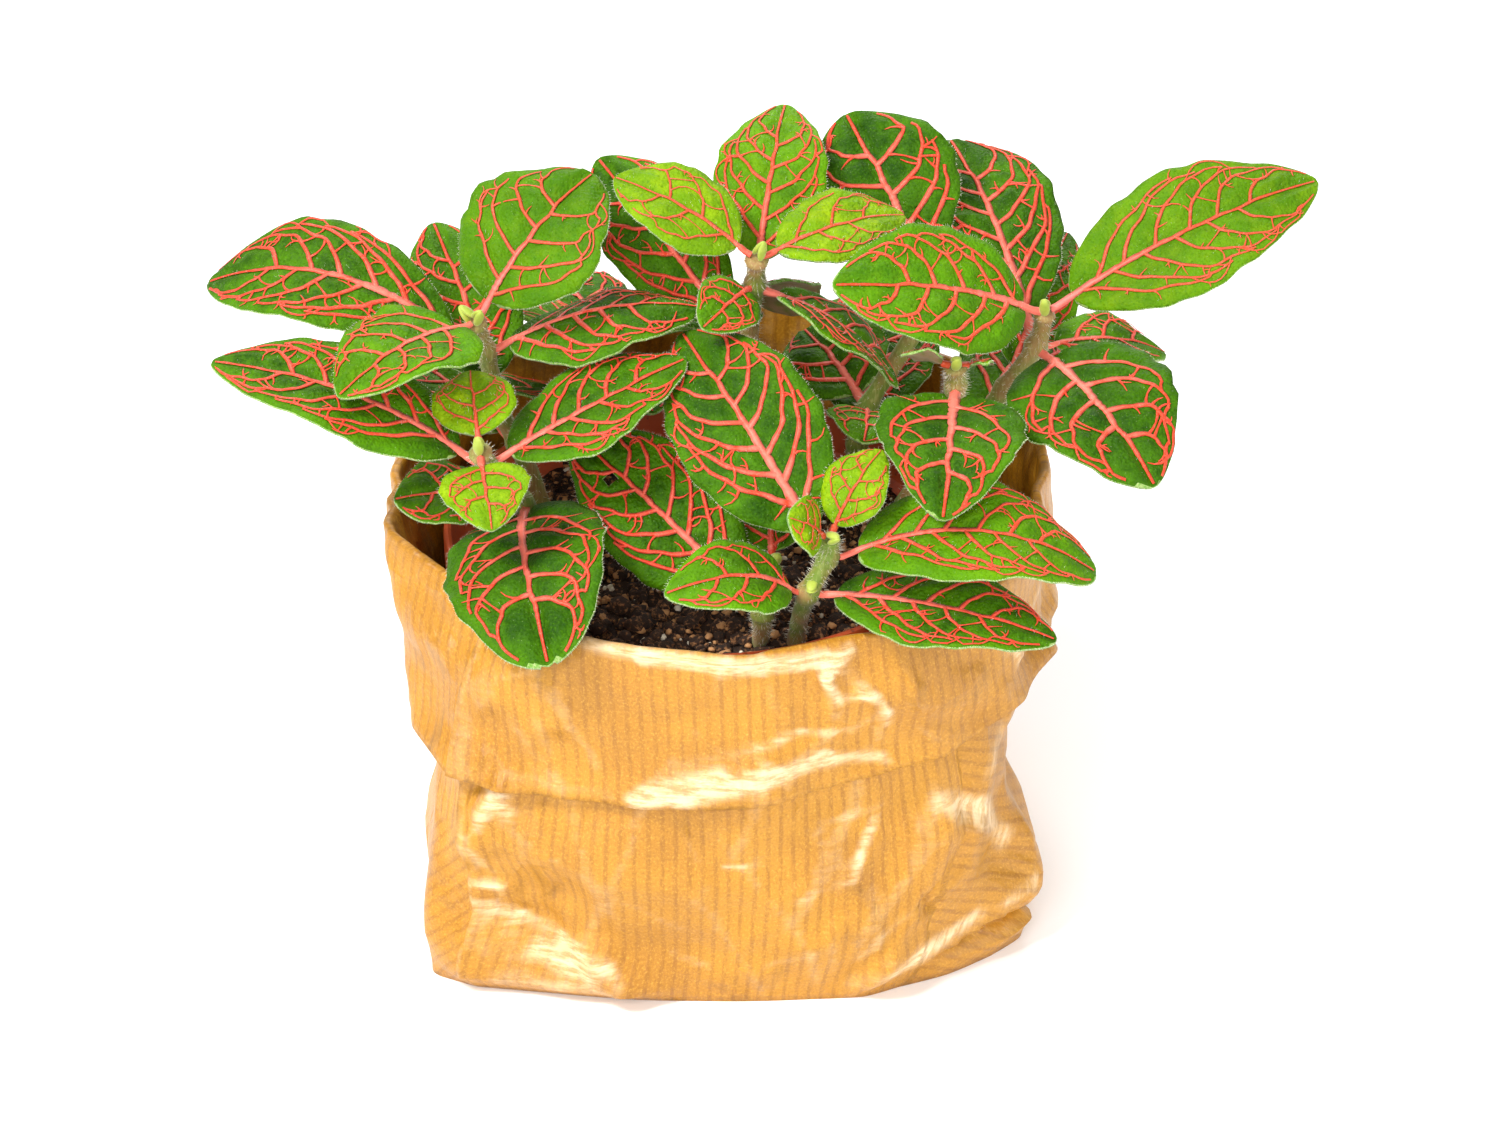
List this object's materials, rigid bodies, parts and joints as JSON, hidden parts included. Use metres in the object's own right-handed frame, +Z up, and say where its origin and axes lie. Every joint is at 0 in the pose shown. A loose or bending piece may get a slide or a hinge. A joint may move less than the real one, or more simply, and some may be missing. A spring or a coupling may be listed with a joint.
{
  "type": "potted nerve plant",
  "caption": "Bushy red-veined nerve plant in a small nursery pot, standing inside a ribbed kraft paper bag with a turned-out cuff; rests on its flat base.",
  "frame": {"origin": "middle of the bag's flat base, on the surface that it stands on", "axes": "+Z up out of the pot, +X along the plant's width with the longest leaf, -Y towards the front that shows the deepest cuff"},
  "size_m": [0.2151, 0.1354, 0.1496],
  "materials": {
    "kraft_paper": "ribbed kraft paper, softly glossy where it is creased",
    "pot_plastic": "terracotta coloured moulded plastic",
    "potting_soil": "dark crumbly soil with pale grains",
    "stem_skin": "hairy olive stem flushed with pink",
    "leaf_dark": "dark green leaf with a net of coral red veins, fine pale hairs",
    "leaf_mid": "mid green leaf with a net of coral red veins, fine pale hairs",
    "leaf_young": "lime green young leaf with pink and red veins, fine pale hairs"
  },
  "bodies": {
    "root": {"paper_bag": "kraft_paper", "nursery_pot": "pot_plastic", "soil": "potting_soil", "stem_left": "stem_skin", "stem_left_front": "stem_skin", "stem_middle": "stem_skin", "stem_right": "stem_skin", "stem_front": "stem_skin", "stem_front_small": "stem_skin", "stem_right_front": "stem_skin", "stem_back_right": "stem_skin", "stem_back_left": "stem_skin", "leaf_left_low_left": "leaf_dark", "leaf_left_low_right": "leaf_dark", "leaf_left_top_right": "leaf_young", "leaf_left_top_left": "leaf_mid", "leaf_left_back": "leaf_dark", "leaf_left_front_left": "leaf_dark", "leaf_left_front_right": "leaf_dark", "leaf_left_front_up": "leaf_young", "leaf_left_front_down": "leaf_young", "leaf_left_front_small": "leaf_dark", "leaf_left_front_drape": "leaf_dark", "leaf_middle_young_left": "leaf_young", "leaf_middle_young_right": "leaf_young", "leaf_middle_up": "leaf_mid", "leaf_middle_back_left": "leaf_dark", "leaf_middle_front": "leaf_dark", "leaf_middle_back_hang": "leaf_mid", "leaf_middle_right_low": "leaf_dark", "leaf_right_top_right": "leaf_young", "leaf_right_top_left": "leaf_mid", "leaf_right_low_front": "leaf_dark", "leaf_right_low_back": "leaf_dark", "leaf_right_up_back": "leaf_dark", "leaf_right_back": "leaf_dark", "leaf_right_back_low": "leaf_dark", "leaf_middle_back_low": "leaf_dark", "leaf_left_back_low": "leaf_dark", "leaf_right_front_front": "leaf_dark", "leaf_right_front_young_left": "leaf_young", "leaf_right_front_young_right": "leaf_young", "leaf_right_front_low": "leaf_dark", "leaf_front_young_up": "leaf_young", "leaf_front_young_low": "leaf_young", "leaf_front_left_up": "leaf_dark", "leaf_front_right": "leaf_mid", "leaf_front_right_low": "leaf_dark", "leaf_front_left_low": "leaf_dark", "leaf_front_small_left": "leaf_dark", "leaf_front_small_up": "leaf_dark", "leaf_back_right_low": "leaf_dark", "leaf_back_right_front": "leaf_dark", "leaf_back_right_left": "leaf_dark", "leaf_back_left_left": "leaf_mid", "leaf_back_left_right": "leaf_dark", "leaf_back_left_front": "leaf_dark", "leaf_back_left_back": "leaf_dark", "leaf_back_left_low": "leaf_dark", "leaf_back_right_back": "leaf_dark"}
  },
  "joints": []
}
